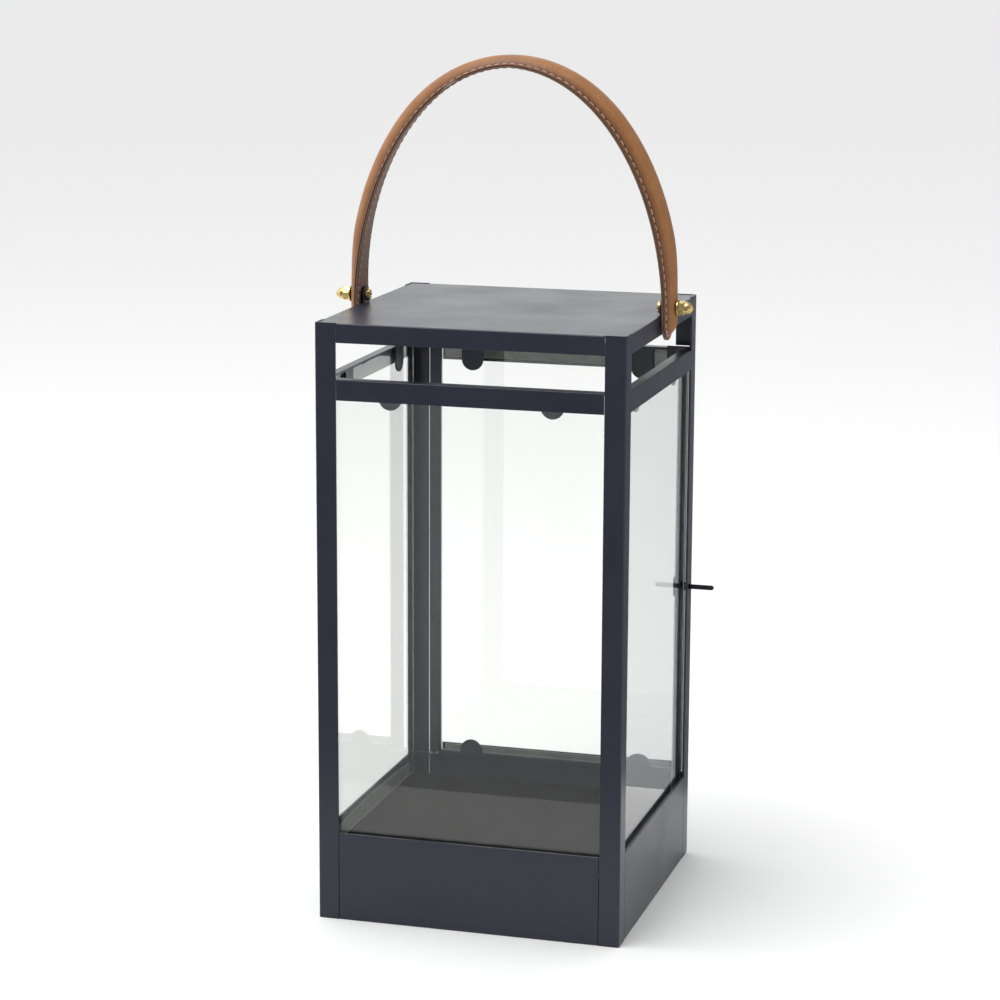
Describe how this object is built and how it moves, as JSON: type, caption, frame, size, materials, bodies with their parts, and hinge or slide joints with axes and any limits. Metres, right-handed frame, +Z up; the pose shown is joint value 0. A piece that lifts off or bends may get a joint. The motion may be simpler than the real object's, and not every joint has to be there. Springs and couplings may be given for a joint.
{
  "type": "candle lantern",
  "caption": "Square steel candle lantern with glass sides, a vented roof, a hinged rear door with a sliding bolt, and a stitched leather strap handle on brass pivots.",
  "frame": {"origin": "on the surface the lantern stands on, under the middle of the body", "axes": "+Z up, the front glass faces -Y, the door faces +Y, the bolt stands out to +X"},
  "size_m": [0.2034, 0.168, 0.4686],
  "materials": {
    "frame_coating": "satin powder coat",
    "floor_coating": "matt",
    "pane_glass": "clear float glass",
    "foam_tape": "matt foam",
    "strap_leather": "satin, stitched",
    "lining_leather": "matt",
    "brass": "polished",
    "dark_steel": "blackened"
  },
  "bodies": {
    "lantern": {"base_panel_front": "frame_coating", "base_panel_left": "frame_coating", "base_panel_rear": "frame_coating", "base_panel_right": "frame_coating", "cap_nut_left": "brass", "cap_nut_right": "brass", "door_stop": "frame_coating", "floor_plate": "floor_coating", "glass_front": "pane_glass", "glass_left": "pane_glass", "glass_rail_front": "frame_coating", "glass_rail_left": "frame_coating", "glass_rail_right": "frame_coating", "glass_right": "pane_glass", "glass_tape_front": "foam_tape", "glass_tape_left": "foam_tape", "glass_tape_right": "foam_tape", "hinge_bracket_bottom": "frame_coating", "hinge_bracket_top": "frame_coating", "hinge_pin_bottom": "dark_steel", "hinge_pin_top": "dark_steel", "latch_bush": "dark_steel", "outer_washer_left": "brass", "outer_washer_right": "brass", "pivot_screw_left": "brass", "pivot_screw_right": "brass", "post_front_left": "frame_coating", "post_front_right": "frame_coating", "post_rear_left": "frame_coating", "post_rear_right": "frame_coating", "roof_cap": "frame_coating", "spacer_washer_left": "dark_steel", "spacer_washer_right": "dark_steel"},
    "door": {"door_bottom_rail": "frame_coating", "door_bottom_tape": "foam_tape", "door_glass": "pane_glass", "door_hinge_stile": "frame_coating", "door_latch_stile": "frame_coating", "door_top_rail": "frame_coating", "door_top_tape": "foam_tape", "latch_keeper": "frame_coating"},
    "bolt": {"latch_bolt": "dark_steel"},
    "handle": {"handle_cover": "strap_leather", "handle_lining": "lining_leather"}
  },
  "joints": [
    {"name": "door_hinge", "type": "hinge", "parent": "lantern", "child": "door", "pos_m": [-0.0698, 0.0814, 0.1757], "axis": [0, 0, 1], "range_deg": [0, 100]},
    {"name": "bolt_slide", "type": "slide", "parent": "lantern", "child": "bolt", "axis": [-1, 0, 0], "range_m": [0, 0.005]},
    {"name": "handle_swing", "type": "hinge", "parent": "lantern", "child": "handle", "pos_m": [0, 0, 0.3352], "axis": [1, 0, 0], "range_deg": [-70, 70]}
  ]
}
